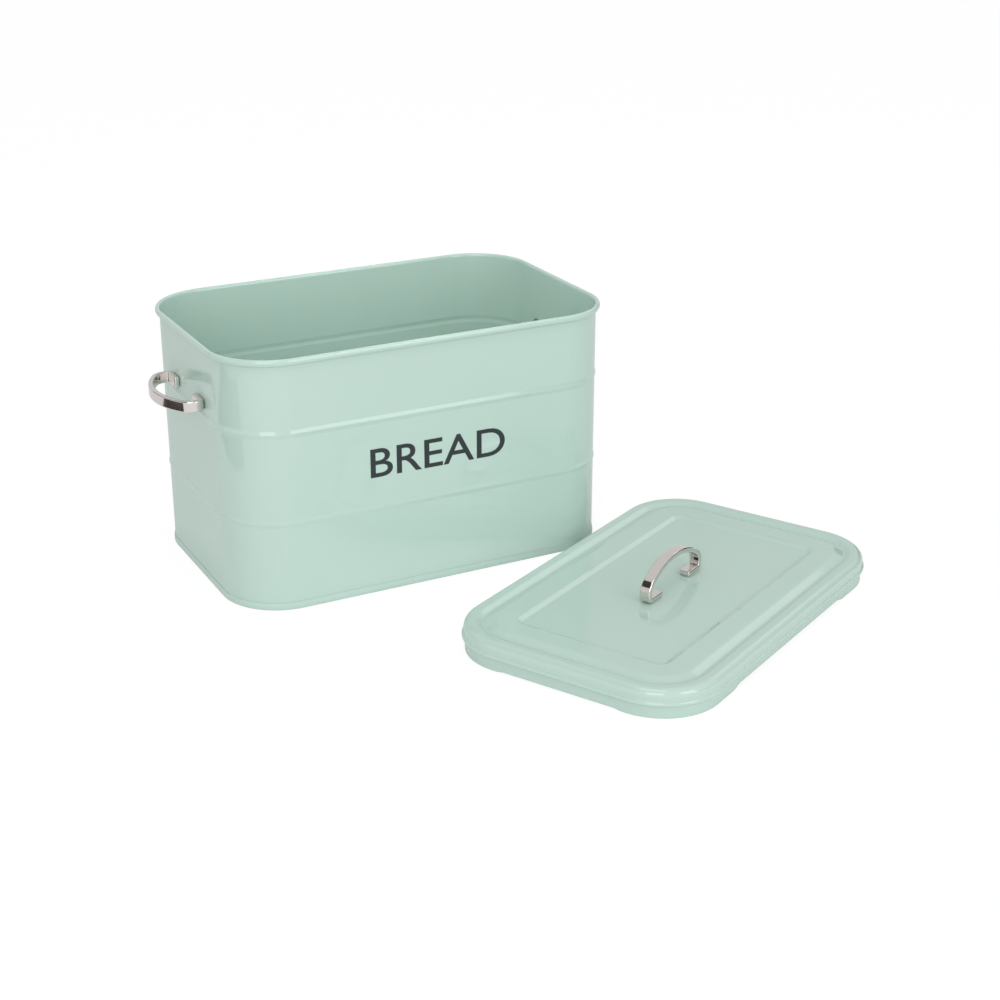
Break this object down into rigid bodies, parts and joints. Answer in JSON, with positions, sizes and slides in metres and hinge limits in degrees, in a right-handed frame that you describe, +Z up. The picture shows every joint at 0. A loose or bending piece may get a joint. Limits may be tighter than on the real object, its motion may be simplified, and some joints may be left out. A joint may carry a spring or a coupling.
{
  "type": "bread bin",
  "caption": "Rounded rectangular sheet-metal bread bin with rolled rim, strap handles on its ends and a separate lift-off lid lying beside it.",
  "frame": {"origin": "centre of the bin's base on the surface it stands on", "axes": "+X along the bin's length towards its right end, +Y towards its back, +Z up"},
  "size_m": [0.5135, 0.5066, 0.207],
  "materials": {
    "enamel": "glossy pale sage green baked enamel",
    "nickel": "bright nickel plating",
    "fastener": "dark oxide steel"
  },
  "bodies": {
    "bin": {"bin_wall": "enamel", "bin_base": "enamel", "left_handle": "nickel", "right_handle": "nickel", "left_handle_screw_a": "fastener", "left_handle_screw_b": "fastener", "left_handle_washer_a": "fastener", "left_handle_washer_b": "fastener", "right_handle_screw_a": "fastener", "right_handle_screw_b": "fastener", "right_handle_washer_a": "fastener", "right_handle_washer_b": "fastener"},
    "lid": {"lid_cover": "enamel", "lid_skirt": "enamel", "lid_handle": "nickel", "lid_handle_screw_a": "fastener", "lid_handle_screw_b": "fastener", "lid_handle_washer_a": "fastener", "lid_handle_washer_b": "fastener"}
  },
  "joints": [
    {"name": "lid_lift", "type": "slide", "parent": "bin", "child": "lid", "axis": [0, 0, 1], "range_m": [0, 0.26]}
  ]
}
